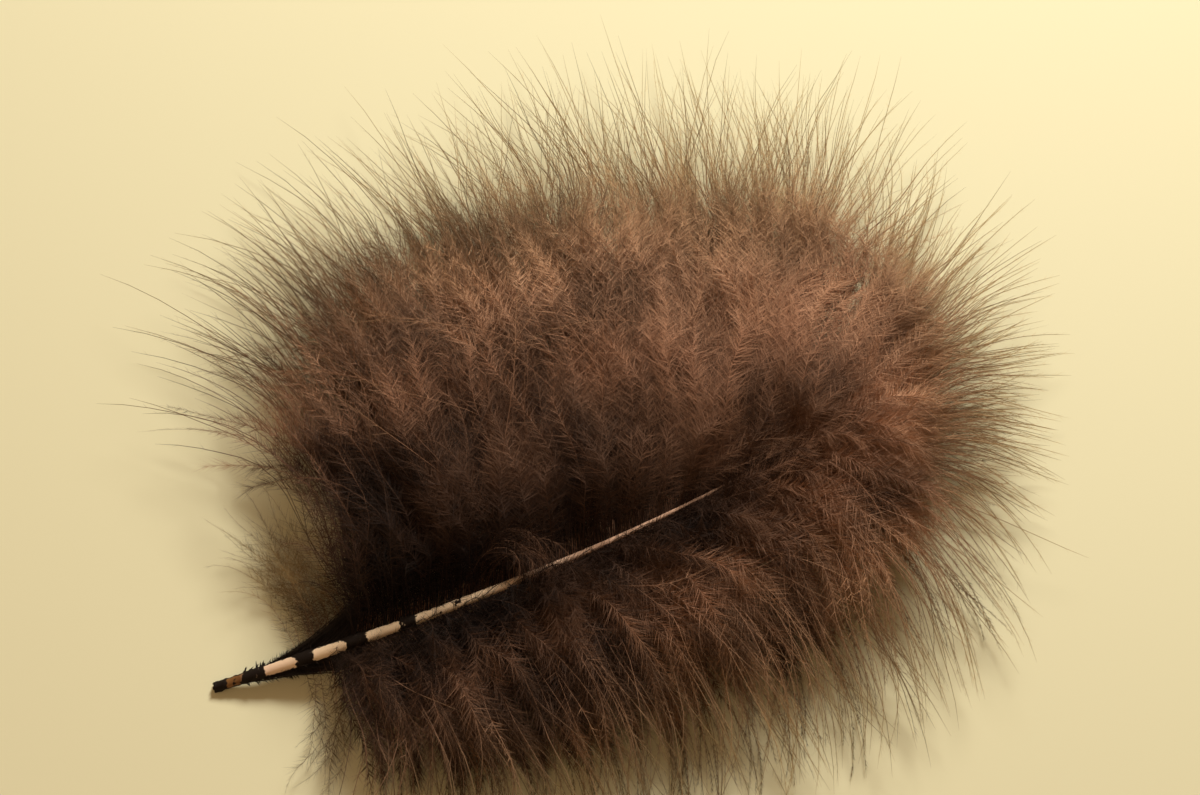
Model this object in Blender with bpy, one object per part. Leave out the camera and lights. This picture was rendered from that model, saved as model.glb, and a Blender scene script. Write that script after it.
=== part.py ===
# A marabou feather lying on a surface: one bent shaft with its downy barbs gathered in tapered locks.
# A feather grows in one piece, so it is one solid. The locks are joined to the shaft that they grow from.
# Metres, +Z up. +X runs along the shaft from its cut end to the tip, and the feather rests on Z = 0.
# The origin is the middle of the feather's footprint, on the surface that it rests on.

import math

import bmesh
import bpy
import numpy as np

# The shaft: its cut end touches the surface, and the rest rides up on the down.
SHAFT_LENGTH = 0.084
SHAFT_START = (-0.0637, -0.0207)
HEADING_START = math.radians(-3.0)
HEADING_END = math.radians(16.7)
SHAFT_RISE = 0.0105
SHAFT_STATIONS = 19
SHAFT_SIDES = 8
# Places along the shaft, as shares of its length, and its diameter at each
SHAFT_PLACES = (0.0, 0.08, 0.18, 0.27, 0.36, 0.50, 0.62, 0.70, 0.86, 1.0)
SHAFT_DIAMETERS = (0.00110, 0.00142, 0.00160, 0.00148, 0.00128, 0.00106, 0.00080, 0.00066, 0.00048, 0.00040)

# The down: where it starts and ends on the shaft, as shares of the shaft's length
DOWN_STARTS = 0.15
DOWN_ENDS = 0.97
# Places along the down, then each side's lock lengths and the angles off the shaft that locks start and end with
DOWN_PLACES = (0.0, 0.1, 0.2, 0.3, 0.45, 0.6, 0.75, 0.9, 1.0)
LEFT_LENGTHS = (0.040, 0.059, 0.073, 0.079, 0.080, 0.080, 0.077, 0.070, 0.063)
LEFT_ROOT_ANGLES = (74, 72, 70, 68, 62, 54, 46, 38, 32)
LEFT_TIP_ANGLES = (116, 124, 124, 117, 104, 92, 80, 66, 54)
RIGHT_LENGTHS = (0.028, 0.033, 0.037, 0.040, 0.043, 0.045, 0.047, 0.047, 0.046)
RIGHT_ROOT_ANGLES = (-70, -62, -56, -50, -44, -40, -36, -32, -28)
RIGHT_TIP_ANGLES = (-114, -114, -114, -114, -115, -116, -116, -112, -104)
# The fan past the shaft's end, from its left to its right
FAN_PLACES = (0.0, 0.25, 0.5, 0.75, 1.0)
FAN_LENGTHS = (0.057, 0.051, 0.046, 0.041, 0.040)
FAN_ROOT_ANGLES = (22, 12, 0, -12, -22)
FAN_TIP_ANGLES = (46, 24, 0, -32, -74)

# The locks: a low tier that lies on the surface and a high tier that arches over it
LOW_LOCKS = 15
HIGH_LOCKS = 14
FAN_LOCKS = 9
LOW_ARCH = -0.0034
HIGH_ARCH = 0.0098
LOW_TIP_HEIGHT = 0.0014
HIGH_TIP_HEIGHT = 0.0052
HIGH_LENGTH = 0.94
LOCK_WIDTH = 0.0086
LOCK_DEPTH = 0.0042
LOCK_SIDES = 6
LOCK_RINGS = 7
LOWEST_LINE = 0.0007
ROOT_SHARE = 0.30
FULLEST_POWER = 1.05
SEED = 7

BENCH_SIZE = 0.4
BENCH_DEPTH = 0.02
POCKET_CHECK = 0.0


def smooth(t):
    """An even start and finish between 0 and 1."""
    return t * t * (3 - 2 * t)


def heading(u):
    """The way the shaft points, seen from above, at share u of its length."""
    return HEADING_START + (HEADING_END - HEADING_START) * u ** 1.5


def shaft_radius(u):
    return 0.5 * np.interp(u, SHAFT_PLACES, SHAFT_DIAMETERS)


def shaft_height(u):
    """Half a sine wave that starts on the surface and peaks before the tip."""
    return shaft_radius(0.0) + SHAFT_RISE * np.sin(0.62 * np.pi * u)


def shaft_point(u):
    """The shaft's middle line, from the running sum of its heading."""
    steps = np.linspace(0.0, u, 33)
    middle = 0.5 * (steps[1:] + steps[:-1])
    step = SHAFT_LENGTH * u / len(middle)
    x = SHAFT_START[0] + step * np.cos(heading(middle)).sum()
    y = SHAFT_START[1] + step * np.sin(heading(middle)).sum()
    return np.array([x, y, shaft_height(u)])


def between(start, end, share):
    return start + (end - start) * share


def lock_table():
    """Every lock as a dictionary: where it leaves the shaft, how long it is, which way it bends and how high."""
    chance = np.random.default_rng(SEED)
    locks = []

    def add(u, root_angle, tip_angle, length, arch, tip_height, width=1.0, depth=1.0):
        turn_off = chance.uniform(-5.0, 5.0)
        locks.append({
            "u": u,
            "root_angle": math.radians(root_angle),
            "tip_angle": math.radians(tip_angle + turn_off),
            "length": length * chance.uniform(0.94, 1.06),
            "arch": arch * chance.uniform(0.75, 1.25),
            "tip_height": tip_height * chance.uniform(0.6, 1.3),
            "width": LOCK_WIDTH * width * chance.uniform(0.9, 1.1),
            "depth": LOCK_DEPTH * depth,
        })

    def add_from(places, place, u, lengths, root_angles, tip_angles, high):
        root_angle, tip_angle, length = (np.interp(place, places, row) for row in (root_angles, tip_angles, lengths))
        if high:
            add(u, root_angle, tip_angle, HIGH_LENGTH * length, HIGH_ARCH, HIGH_TIP_HEIGHT)
        else:
            add(u, root_angle, tip_angle, length, LOW_ARCH, LOW_TIP_HEIGHT)

    for high, count in ((False, LOW_LOCKS), (True, HIGH_LOCKS)):
        for k in range(count):
            along = (k + (0.7 if high else 0.3)) / count
            u = between(DOWN_STARTS, DOWN_ENDS, along)
            add_from(DOWN_PLACES, along, u, LEFT_LENGTHS, LEFT_ROOT_ANGLES, LEFT_TIP_ANGLES, high)
            add_from(DOWN_PLACES, along, u, RIGHT_LENGTHS, RIGHT_ROOT_ANGLES, RIGHT_TIP_ANGLES, high)
    for k in range(FAN_LOCKS):
        across = k / (FAN_LOCKS - 1)
        add_from(FAN_PLACES, across, 0.985, FAN_LENGTHS, FAN_ROOT_ANGLES, FAN_TIP_ANGLES, k % 2 == 0)
    # Short stiff barbs that hug the shaft near its cut end
    add(0.05, 8, 40, 0.0185, 0.0002, 0.0045, width=0.40, depth=0.35)
    add(0.08, -9, -6, 0.0120, 0.0, 0.0030, width=0.30, depth=0.30)
    return locks


def lock_line(lock, t):
    """The middle line of a lock at shares t of its length: its bearing turns evenly from root to tip."""
    root = shaft_point(lock["u"])
    fine = np.linspace(0.0, 1.0, 65)
    middle = 0.5 * (fine[1:] + fine[:-1])
    bearing = heading(lock["u"]) + between(lock["root_angle"], lock["tip_angle"], middle)
    step = lock["length"] / len(middle)
    x = root[0] + np.interp(t, fine, np.concatenate([[0.0], np.cumsum(step * np.cos(bearing))]))
    y = root[1] + np.interp(t, fine, np.concatenate([[0.0], np.cumsum(step * np.sin(bearing))]))
    z = between(root[2], lock["tip_height"], smooth(t)) + lock["arch"] * np.sin(np.pi * t)
    z = np.maximum(z, np.minimum(root[2], LOWEST_LINE))
    turn = heading(lock["u"]) + between(lock["root_angle"], lock["tip_angle"], t)
    return np.stack([x, y, z], axis=1), turn


def lock_profile(t):
    """How full a lock is along its length: narrow at the shaft, fullest before the middle, pointed at the tip."""
    return ROOT_SHARE * (1 - t) ** 2 + np.sin(np.pi * np.clip(t, 0.0, 1.0) ** FULLEST_POWER)


def add_tube(shape, rings):
    """Skins rings of points with faces and closes both ends. A ring of one point is a pointed end."""
    loops = [[shape.verts.new(point) for point in ring] for ring in rings]
    for lower, upper in zip(loops[:-1], loops[1:]):
        for i in range(len(lower)):
            j = (i + 1) % len(lower)
            if len(upper) == 1:
                shape.faces.new((lower[i], lower[j], upper[0]))
            else:
                shape.faces.new((lower[i], lower[j], upper[j], upper[i]))
    shape.faces.new(list(reversed(loops[0])))
    if len(loops[-1]) > 1:
        shape.faces.new(loops[-1])


def add_lock(shape, lock):
    """One lock: flat oval rings along its middle line, ending in a point."""
    t = np.linspace(0.0, 1.0, LOCK_RINGS)
    line, turn = lock_line(lock, t)
    around = np.linspace(0.0, 2 * math.pi, LOCK_SIDES, endpoint=False)
    rings = []
    for point, bearing, fullness in zip(line[:-1], turn[:-1], lock_profile(t)[:-1]):
        sideways = np.array([-math.sin(bearing), math.cos(bearing), 0.0])
        upward = np.array([0.0, 0.0, 1.0])
        half_width = 0.5 * lock["width"] * fullness
        half_depth = 0.5 * lock["depth"] * fullness
        rings.append([
            point + half_width * math.cos(a) * sideways + half_depth * math.sin(a) * upward
            for a in around
        ])
    rings.append([line[-1]])
    add_tube(shape, rings)


def add_shaft(shape):
    """The calamus and rachis as one tapering tube."""
    rings = []
    around = np.linspace(0.0, 2 * math.pi, SHAFT_SIDES, endpoint=False)
    for u in np.linspace(0.0, 1.0, SHAFT_STATIONS):
        centre = shaft_point(u)
        sideways = np.array([-math.sin(heading(u)), math.cos(heading(u)), 0.0])
        upward = np.array([0.0, 0.0, 1.0])
        radius = shaft_radius(u)
        rings.append([centre + radius * (math.cos(a) * sideways + math.sin(a) * upward) for a in around])
    add_tube(shape, rings)


def mesh_object(name, build):
    """A new object whose mesh the given function fills in."""
    shape = bmesh.new()
    build(shape)
    bmesh.ops.recalc_face_normals(shape, faces=shape.faces)
    mesh = bpy.data.meshes.new(name)
    shape.to_mesh(mesh)
    shape.free()
    obj = bpy.data.objects.new(name, mesh)
    bpy.context.scene.collection.objects.link(obj)
    return obj


def helper(obj):
    """Marks a cutter or a guide, which is no part of the feather."""
    obj.hide_render = True
    obj.display_type = "WIRE"
    return obj


def add_boolean(obj, operation, other):
    modifier = obj.modifiers.new(operation.title(), "BOOLEAN")
    modifier.operation = operation
    modifier.solver = "EXACT"
    modifier.use_self = operation == "UNION"
    modifier.object = other


def shells(shape):
    """The mesh's faces as groups that share vertices."""
    left = set(shape.faces)
    while left:
        group = set()
        reach = [left.pop()]
        while reach:
            face = reach.pop()
            group.add(face)
            for vertex in face.verts:
                for near in vertex.link_faces:
                    if near in left:
                        left.remove(near)
                        reach.append(near)
        yield group


def shell_volume(group):
    """The volume that a group of triangles encloses, negative for a pocket inside the solid."""
    total = 0.0
    for face in group:
        a, b, c = (vertex.co for vertex in face.verts)
        total += a.dot(b.cross(c)) / 6
    return total


def close_pockets(shape):
    """Fills the pockets that the locks leave sealed between them, by removing their inner walls."""
    bmesh.ops.triangulate(shape, faces=shape.faces)
    for group in list(shells(shape)):
        if shell_volume(group) <= POCKET_CHECK:
            bmesh.ops.delete(shape, geom=list(group), context="FACES")


def make_material():
    material = bpy.data.materials.new("brown_down")
    material.use_nodes = True
    shader = material.node_tree.nodes["Principled BSDF"]
    shader.inputs["Base Color"].default_value = (0.16, 0.085, 0.05, 1.0)
    shader.inputs["Roughness"].default_value = 0.85
    shader.inputs["Metallic"].default_value = 0.0
    return material


def build_feather():
    feather = mesh_object("feather", add_shaft)
    locks = helper(mesh_object("locks", lambda shape: [add_lock(shape, lock) for lock in lock_table()]))

    def bench_block(shape):
        bmesh.ops.create_cube(shape, size=1.0)
        bmesh.ops.scale(shape, vec=(BENCH_SIZE, BENCH_SIZE, BENCH_DEPTH), verts=shape.verts)
        bmesh.ops.translate(shape, vec=(0.0, 0.0, -0.5 * BENCH_DEPTH), verts=shape.verts)

    bench = helper(mesh_object("bench", bench_block))
    add_boolean(feather, "UNION", locks)
    add_boolean(feather, "DIFFERENCE", bench)

    # The joined mesh replaces the modifiers, so that sealed pockets can be filled
    graph = bpy.context.evaluated_depsgraph_get()
    joined = bpy.data.meshes.new_from_object(feather.evaluated_get(graph))
    feather.modifiers.clear()
    for other in (locks, bench):
        bpy.data.objects.remove(other)
    shape = bmesh.new()
    shape.from_mesh(joined)
    close_pockets(shape)
    shape.to_mesh(joined)
    shape.free()
    joined.materials.clear()
    joined.materials.append(make_material())
    feather.data = joined
    return feather


for old in list(bpy.data.objects):
    bpy.data.objects.remove(old)
build_feather()
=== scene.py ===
# %% [markdown]
# # A marabou feather
# Marabou is usually the long, loose down of a turkey. A thin horn quill carries hundreds of soft barbs, and
# each barb carries hundreds of hair-fine barbules, too fine and too limp to hook into a flat vane.
# So the feather reads as a cloud: dark and thick near the quill, thin and golden at its fringe.
# The quill's line and the locks that the barbs gather in are worked out from the same dimensions as the
# measured model. Each lock then becomes real barbs and barbules, made as whole numpy arrays.

# %% Load the measured model
import math

import bpy
import numpy as np
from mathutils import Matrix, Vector


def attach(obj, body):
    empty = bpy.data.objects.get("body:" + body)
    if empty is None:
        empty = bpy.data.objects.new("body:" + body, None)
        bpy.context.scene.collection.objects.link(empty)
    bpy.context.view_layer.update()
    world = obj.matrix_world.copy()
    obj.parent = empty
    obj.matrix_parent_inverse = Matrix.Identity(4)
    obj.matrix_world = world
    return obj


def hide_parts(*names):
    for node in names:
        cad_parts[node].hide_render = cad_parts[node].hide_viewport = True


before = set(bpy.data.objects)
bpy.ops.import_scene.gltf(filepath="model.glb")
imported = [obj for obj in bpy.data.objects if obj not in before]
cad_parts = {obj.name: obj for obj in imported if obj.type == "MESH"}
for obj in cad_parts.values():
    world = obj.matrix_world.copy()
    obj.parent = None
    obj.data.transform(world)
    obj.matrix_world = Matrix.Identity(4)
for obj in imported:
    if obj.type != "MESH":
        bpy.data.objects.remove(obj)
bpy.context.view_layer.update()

# %% [markdown]
# ## The view
# The feather lies on a pale surface and is seen from above, tilted a little, with its cut end at the
# lower left. The camera's azimuth and height come from the line of the quill in the photograph.
# The camera comes first, so that every later step can be looked at.

# %% Camera
LENS = 70.0
SENSOR = 36.0
NEAREST_SEEN = 0.01
VIEW_AZIMUTH = math.radians(-16.63)
VIEW_ELEVATION = math.radians(66.0)
VIEW_DISTANCE = 0.3231
VIEW_TARGET = Vector((-0.00276, 0.00269, 0.00659))

view_back = Vector((
    math.sin(VIEW_AZIMUTH) * math.cos(VIEW_ELEVATION),
    -math.cos(VIEW_AZIMUTH) * math.cos(VIEW_ELEVATION),
    math.sin(VIEW_ELEVATION),
))
camera_data = bpy.data.cameras.new("view")
camera_data.lens = LENS
camera_data.sensor_width = SENSOR
camera_data.clip_start = NEAREST_SEEN
camera = bpy.data.objects.new("view", camera_data)
camera.location = VIEW_TARGET + view_back * VIEW_DISTANCE
camera.rotation_euler = view_back.to_track_quat("Z", "Y").to_euler()
bpy.context.scene.collection.objects.link(camera)
bpy.context.scene.camera = camera
print("camera at", tuple(round(value, 4) for value in camera.location))

# %% [markdown]
# ## The line of the quill
# The quill bends gently to the left and rises from its cut end, because the down below lifts it.
# A curve object could draw it, but a formula also gives the place and heading where each barb leaves it.
# The heading turns with a power of the distance, and the place is the running sum of that heading.

# %% The quill's line
SHAFT_LENGTH = 0.084
SHAFT_START = (-0.0637, -0.0207)
HEADING_START = math.radians(-3.0)
HEADING_END = math.radians(16.7)
HEADING_POWER = 1.5
SHAFT_RISE = 0.0105
# The height follows this share of half a sine wave's turn
RISE_TURN = 0.62
SHAFT_PLACES = (0.0, 0.08, 0.18, 0.27, 0.36, 0.50, 0.62, 0.70, 0.86, 1.0)
SHAFT_DIAMETERS = (0.00110, 0.00142, 0.00160, 0.00148, 0.00128, 0.00106, 0.00080, 0.00066, 0.00048, 0.00040)
SUM_COUNT = 800


def between(start, end, share):
    return start + (end - start) * share


def smooth(t):
    """3 t^2 - 2 t^3, held at 0 before 0 and at 1 after 1."""
    t = np.clip(t, 0, 1)
    return t * t * (3 - 2 * t)


def heading(u):
    """The way the quill points, seen from above, at share u of its length."""
    return HEADING_START + (HEADING_END - HEADING_START) * u ** HEADING_POWER


def shaft_radius(u):
    return 0.5 * np.interp(u, SHAFT_PLACES, SHAFT_DIAMETERS)


sum_steps = np.linspace(0.0, 1.0, SUM_COUNT + 1)
sum_middles = 0.5 * (sum_steps[1:] + sum_steps[:-1])
sum_x = np.concatenate([[0.0], np.cumsum(np.cos(heading(sum_middles)))]) * SHAFT_LENGTH / SUM_COUNT
sum_y = np.concatenate([[0.0], np.cumsum(np.sin(heading(sum_middles)))]) * SHAFT_LENGTH / SUM_COUNT


def shaft_point(u):
    """The middle line: x and y are running sums of the heading, z is part of a sine wave."""
    x = SHAFT_START[0] + np.interp(u, sum_steps, sum_x)
    y = SHAFT_START[1] + np.interp(u, sum_steps, sum_y)
    z = shaft_radius(0.0) + SHAFT_RISE * np.sin(RISE_TURN * np.pi * u)
    return np.stack([x, y, z], axis=-1)


def flat_way(bearing):
    """The level unit vector (cos b, sin b, 0)."""
    return np.stack([np.cos(bearing), np.sin(bearing), 0 * bearing], axis=-1)


def left_way(bearing):
    """The level unit vector a quarter turn to the left of the bearing: (-sin b, cos b, 0)."""
    return np.stack([-np.sin(bearing), np.cos(bearing), 0 * bearing], axis=-1)


def beside_quill(u, turn, share):
    """A point off the middle line: p + share * radius, level, at the angle turn to the quill."""
    return shaft_point(u) + flat_way(heading(u) + turn) * share * shaft_radius(u)[:, None]


print("quill from", shaft_point(0.0).round(4), "to", shaft_point(1.0).round(4))

# %% [markdown]
# ## The locks
# Loose barbs cling together in locks. A low tier lies on the surface and a high tier arches over it, on
# both sides of the quill, with a fan past its end. The tables give each lock's length and the angle off
# the quill that it starts and ends with, and its bearing turns evenly from one to the other.

# %% Lock tables
LEFT, RIGHT, FAN = 0, 1, 2
DOWN_STARTS = 0.15
DOWN_ENDS = 0.97
DOWN_PLACES = (0.0, 0.1, 0.2, 0.3, 0.45, 0.6, 0.75, 0.9, 1.0)
LEFT_LENGTHS = (0.040, 0.059, 0.073, 0.079, 0.080, 0.080, 0.077, 0.070, 0.063)
LEFT_ROOT_ANGLES = (74, 72, 70, 68, 62, 54, 46, 38, 32)
LEFT_TIP_ANGLES = (116, 124, 124, 117, 104, 92, 80, 66, 54)
RIGHT_LENGTHS = (0.028, 0.033, 0.037, 0.040, 0.043, 0.045, 0.047, 0.047, 0.046)
RIGHT_ROOT_ANGLES = (-70, -62, -56, -50, -44, -40, -36, -32, -28)
RIGHT_TIP_ANGLES = (-114, -114, -114, -114, -115, -116, -116, -112, -104)
FAN_ROOT = 0.985
FAN_PLACES = (0.0, 0.25, 0.5, 0.75, 1.0)
FAN_LENGTHS = (0.057, 0.051, 0.046, 0.041, 0.040)
FAN_ROOT_ANGLES = (22, 12, 0, -12, -22)
FAN_TIP_ANGLES = (46, 24, 0, -32, -74)
TABLES = {
    LEFT: (DOWN_PLACES, LEFT_LENGTHS, LEFT_ROOT_ANGLES, LEFT_TIP_ANGLES),
    RIGHT: (DOWN_PLACES, RIGHT_LENGTHS, RIGHT_ROOT_ANGLES, RIGHT_TIP_ANGLES),
    FAN: (FAN_PLACES, FAN_LENGTHS, FAN_ROOT_ANGLES, FAN_TIP_ANGLES),
}


def read_tables(side, along):
    """Length and start and end angles off the quill for each (side, place), straight between table rows."""
    rows = np.zeros((3, len(side)))
    for which, (places, lengths, roots, tips) in TABLES.items():
        for row, values in enumerate((lengths, roots, tips)):
            rows[row] = np.where(side == which, np.interp(along, places, values), rows[row])
    return rows


def root_share(side, along):
    return np.where(side == FAN, FAN_ROOT, between(DOWN_STARTS, DOWN_ENDS, along))


# %% Every lock as rows of arrays
LOW_LOCKS = 15
HIGH_LOCKS = 14
FAN_LOCKS = 9
# The two tiers are out of step, so that high locks lie over the gaps between low ones
LOW_FIRST = 0.3
HIGH_FIRST = 0.7
LOW_ARCH = -0.0034
HIGH_ARCH = 0.0098
LOW_TIP_HEIGHT = 0.0014
HIGH_TIP_HEIGHT = 0.0052
HIGH_LENGTH = 0.94
LOCK_WIDTH = 0.0086
LOCK_DEPTH = 0.0042
LOCK_SEED = 7
# How much one lock differs from the next: degrees at the tip, then shares of each size
TIP_TURNS = (-5.0, 5.0)
LENGTH_SHARES = (0.94, 1.06)
ARCH_SHARES = (0.75, 1.25)
HEIGHT_SHARES = (0.6, 1.3)
WIDTH_SHARES = (0.9, 1.1)

low_along = np.repeat((np.arange(LOW_LOCKS) + LOW_FIRST) / LOW_LOCKS, 2)
high_along = np.repeat((np.arange(HIGH_LOCKS) + HIGH_FIRST) / HIGH_LOCKS, 2)
fan_along = np.arange(FAN_LOCKS) / (FAN_LOCKS - 1)
lock_along = np.concatenate([low_along, high_along, fan_along])
lock_side = np.concatenate([np.tile([LEFT, RIGHT], LOW_LOCKS + HIGH_LOCKS), np.full(FAN_LOCKS, FAN)])
lock_high = np.concatenate([
    np.zeros(2 * LOW_LOCKS, bool), np.ones(2 * HIGH_LOCKS, bool), np.arange(FAN_LOCKS) % 2 == 0,
])
chance = np.random.default_rng(LOCK_SEED).random((len(lock_along), 5))
lock_length, lock_root, lock_tip = read_tables(lock_side, lock_along)
lock_height = np.where(lock_high, HIGH_TIP_HEIGHT, LOW_TIP_HEIGHT)
locks = {
    "side": lock_side,
    "along": lock_along,
    "high": lock_high,
    "u": root_share(lock_side, lock_along),
    "root_angle": np.radians(lock_root),
    "tip_angle": np.radians(lock_tip + between(*TIP_TURNS, chance[:, 0])),
    "length": lock_length * np.where(lock_high, HIGH_LENGTH, 1.0) * between(*LENGTH_SHARES, chance[:, 1]),
    "arch": np.where(lock_high, HIGH_ARCH, LOW_ARCH) * between(*ARCH_SHARES, chance[:, 2]),
    "tip_height": lock_height * between(*HEIGHT_SHARES, chance[:, 3]),
    "width": LOCK_WIDTH * between(*WIDTH_SHARES, chance[:, 4]),
}
print("locks:", len(lock_along))

# %% Lines that bend evenly
LOWEST_LINE = 0.0007
LEAST_TURN = 1e-4
ROOT_SHARE = 0.30
FULLEST_POWER = 1.05


def even_shares(count):
    """Shares 0 to 1 at even steps, as one row."""
    return np.linspace(0.0, 1.0, count)[None, :]


def bent_lines(strands, t):
    """Points at shares t of each strand, as (strand, share, xyz), and the bearing at each.

    The bearing b runs evenly from b0 to b1, so x = x0 + L (sin b - sin b0) / (b1 - b0) and
    y = y0 - L (cos b - cos b0) / (b1 - b0). The height goes smoothly from the quill's to the tip's,
    plus an arch of half a sine wave, and never under the lowest line."""
    root = strands["root"] if "root" in strands else shaft_point(strands["u"])
    first = (heading(strands["u"]) + strands["root_angle"])[:, None]
    turn = (strands["tip_angle"] - strands["root_angle"])[:, None]
    turn = np.where(np.abs(turn) < LEAST_TURN, LEAST_TURN, turn)
    bearing = first + turn * t
    reach = strands["length"][:, None] / turn
    x = root[:, :1] + reach * (np.sin(bearing) - np.sin(first))
    y = root[:, 1:2] - reach * (np.cos(bearing) - np.cos(first))
    z = between(root[:, 2:], strands["tip_height"][:, None], smooth(t))
    z = z + strands["arch"][:, None] * np.sin(np.pi * t)
    z = np.maximum(z, np.minimum(root[:, 2:], LOWEST_LINE))
    return np.stack([x, y, z], axis=-1), bearing


def lock_profile(t):
    """A lock's width along its length: a share at the root that fades, plus half a sine wave."""
    return ROOT_SHARE * (1 - t) ** 2 + np.sin(np.pi * np.clip(t, 0.0, 1.0) ** FULLEST_POWER)


# %% Smooth chance
PATCH_WAVES = 5
PATCH_SIZES = (0.7, 1.5)
PATCH_SCALE = 2.6


def unit(vectors):
    return vectors / np.maximum(np.linalg.norm(vectors, axis=-1, keepdims=True), 1e-12)


def patches(points, size, seed):
    """A slowly changing number, mostly between -1 and 1: a scaled sum of sine waves in several ways."""
    chance = np.random.default_rng(seed)
    ways = unit(chance.normal(0.0, 1.0, (PATCH_WAVES, 3))) * 2 * np.pi
    ways = ways / (size * chance.uniform(*PATCH_SIZES, (PATCH_WAVES, 1)))
    return np.sin(points @ ways.T + chance.uniform(0, 2 * np.pi, PATCH_WAVES)).sum(axis=1) / PATCH_SCALE


# %% [markdown]
# ## Barbs
# A barb is the fine stem that leaves the quill. Barbs leave it one after another, like the teeth of a
# comb. A few millimetres out they cling together in wisps, several wisps to a lock, and they part again
# at their tips. Hair curves could be groomed to do this, but plain arrays keep every barb as a real mesh.
# So each barb's line is a blend: its own even bend at the root, its lock's line and its place in a wisp
# further out, and its own wave on top. Four layers make the depth: a dark one that lies on the surface,
# whose darker colour is painted shade beneath the layers above, one that arches over it, short curls that
# stand up between the quill and the fringe, and long bare hairs that make the fringe itself.

# %% The layers of barbs
LAYER_NAMES = ("under", "over", "curls", "hairs")
LAYER_TABLE = {
    # which tier of locks it joins
    "high": (False, True, True, True),
    # its length as a share of its lock's, and how the shares are spread
    "shorter": ((0.72, 0.94), (0.66, 0.97), (0.14, 0.84), (0.78, 1.03)),
    "short_power": (1.0, 0.8, 1.1, 0.8),
    # how far it bends from its lock's way, arches, lifts its tip, and lies flat again when long
    "turn": (12.0, 20.0, 56.0, 34.0),
    "arch": ((0.0, 1.3), (0.10, 0.85), (0.10, 0.85), (0.0, 0.55)),
    "rise": ((0.0007, 0.0040), (0.0015, 0.0100), (0.0060, 0.0190), (0.0010, 0.0120)),
    "lie_down": (0.0, 0.2, 0.75, 0.2),
    # how much it follows its lock, waves, and leans over as curls do
    "cling": (0.50, 0.40, 0.20, 0.30),
    "wave": (0.8, 0.9, 1.9, 0.12),
    "sweep": (0.0, 0.4, 1.0, 0.0),
    # how light it is, and its stem beside its barbules: the under layer's lower tone is painted shade
    # beneath the layers above, and the hairs' higher tone is partly their own paler colour, partly painted
    # light through them
    "tone": (-0.14, 0.0, 0.16, 0.30),
    "stem_tone": (0.0, -0.10, 0.0, -0.36),
    # the stem's radius at the root and near the tip
    "stem": ((0.000058, 0.000031), (0.000058, 0.000034), (0.000055, 0.000030), (0.000045, 0.000062)),
    # the barbules' length and width, where they start, and how far out they are full
    "barbule": (0.0036, 0.0035, 0.0036, 0.0024),
    "width": (0.00020, 0.00009, 0.00009, 0.00012),
    "from": (0.012, 0.012, 0.012, 0.46),
    "full_to": (0.50, 0.50, 0.50, 0.50),
    # what share of their length is left at the fringe
    "fringe": (0.20, 0.22, 0.20, 0.52),
}
LAYERS = {
    name: {key: values[column] for key, values in LAYER_TABLE.items()}
    for column, name in enumerate(LAYER_NAMES)
}
print("layers:", LAYER_NAMES)

# %% Where each barb leaves the quill, and the lock it joins
WISPS_PER_LOCK = 6
BARBS_FROM = {LEFT: 0.10, RIGHT: 0.04, FAN: 0.0}
PLACE_JITTER = 0.3
LOCK_MIXING = 0.016


def barb_places(side, layer, count, seed, chance):
    """Each barb's place along its side, its lock, and six numbers that all barbs of its wisp share."""
    along = (np.arange(count) + chance.uniform(-PLACE_JITTER, PLACE_JITTER, count)) / (count - 1)
    along = between(BARBS_FROM[side], 1.0, along.clip(0.0, 1.0))
    candidates = np.flatnonzero((locks["side"] == side) & (locks["high"] == layer["high"]))
    gap = np.abs((along + chance.normal(0.0, LOCK_MIXING, count))[:, None] - locks["along"][candidates])
    chosen = candidates[gap.argmin(axis=1)]
    wisp = chosen * WISPS_PER_LOCK + chance.integers(0, WISPS_PER_LOCK, count)
    wisps = np.random.default_rng(seed + 1).uniform(-1, 1, (len(lock_along) * WISPS_PER_LOCK, 6))
    return along, chosen, wisps[wisp]


# %% How a barb bends on its own
ROOT_JITTER = {LEFT: 0.004, RIGHT: 0.004, FAN: 0.02}
# Barbs start inside the quill's surface, at this share of its radius
ROOT_DEPTH = 0.7
# Degrees: how far roots open and tips close beside their lock, how far curls sweep, and the spreads
ROOT_OPENING = {LEFT: 8.0, RIGHT: 6.0, FAN: 0.0}
TIP_CLOSING = {LEFT: 8.0, RIGHT: 3.0, FAN: 0.0}
CURL_SWEEP = {LEFT: 0.0, RIGHT: 26.0, FAN: 0.0}
WISP_LEAN = 10.0
ROOT_SPREAD = 5
STRAY_TURN = 24
ROOT_SWEEP_SHARE = 0.4
ROOT_TURN_SHARE = 0.2
TURN_SPREAD = 0.6
TURN_LIMIT = 0.9
STRAY_LENGTH = 1.05
WISP_LENGTH = 0.05
SIDE_ARCH = {LEFT: 1.0, RIGHT: 0.75, FAN: 0.9}
FULL_PLACES = (0.12, 0.30, 0.50, 0.75, 1.0)
REACH = {
    LEFT: (0.91, 0.93, 0.97, 1.00, 1.00),
    RIGHT: (1.00, 1.00, 1.00, 1.00, 0.98),
    FAN: (0.98, 0.95, 0.93, 0.93, 0.95),
}


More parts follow.
